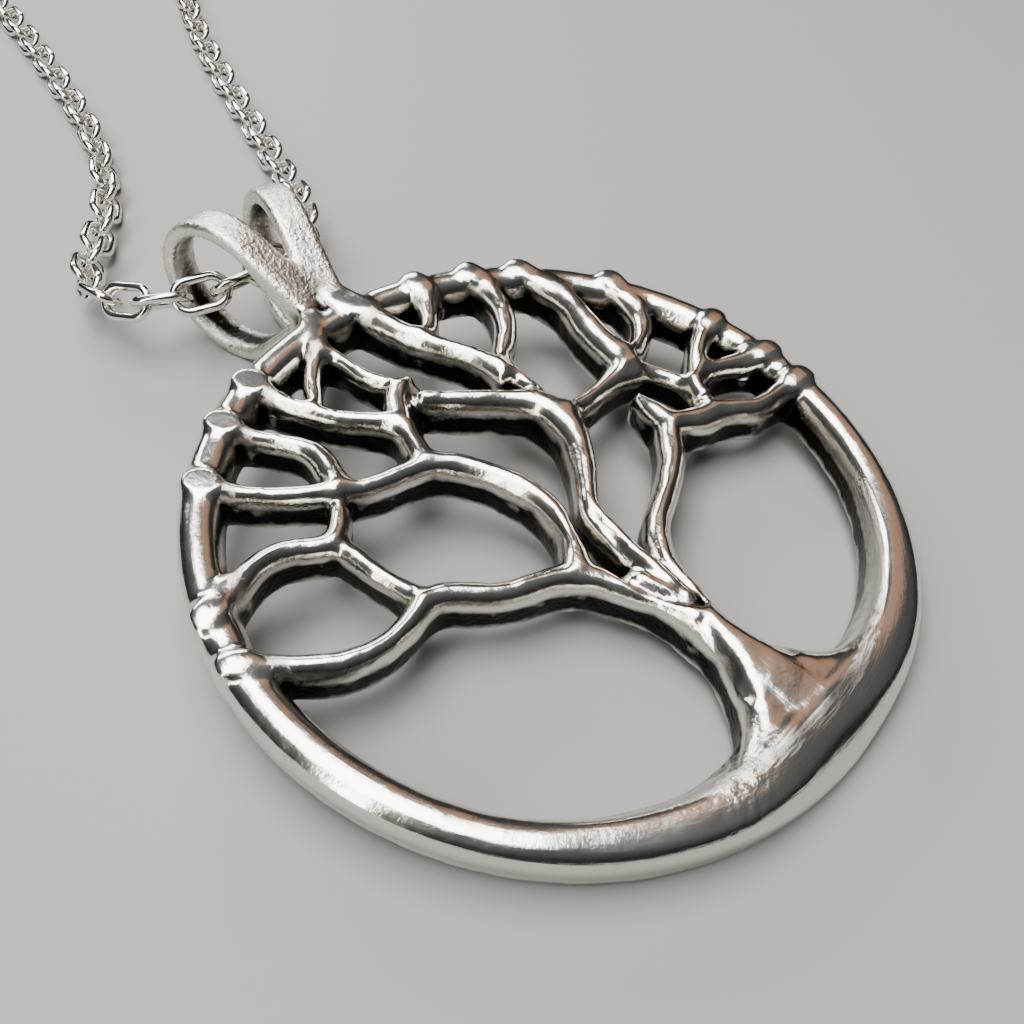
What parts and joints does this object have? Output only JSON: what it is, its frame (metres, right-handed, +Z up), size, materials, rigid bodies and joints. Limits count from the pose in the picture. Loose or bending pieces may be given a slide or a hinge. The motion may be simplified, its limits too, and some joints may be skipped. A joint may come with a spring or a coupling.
{
  "type": "tree of life pendant on a chain",
  "caption": "Round openwork tree pendant in cast silver, its limbs wrapping over the rim, lying on a split bail with a closed cable chain laid out in a loop.",
  "frame": {"origin": "middle of the neck opening inside the chain's loop, on the surface that the necklace lies on", "axes": "+Z up from the surface, +Y from the tree's foot towards its bail and the clasp, +X to the right seen from above"},
  "size_m": [0.1056, 0.2281, 0.0076],
  "materials": {
    "cast_silver": "cast silver, polished on the high places and darkened in the recesses",
    "chain_silver": "bright drawn silver wire"
  },
  "bodies": {
    "root": {"tree_pendant": "cast_silver", "chain": "chain_silver", "clasp": "chain_silver", "jump_rings": "chain_silver"}
  },
  "joints": []
}
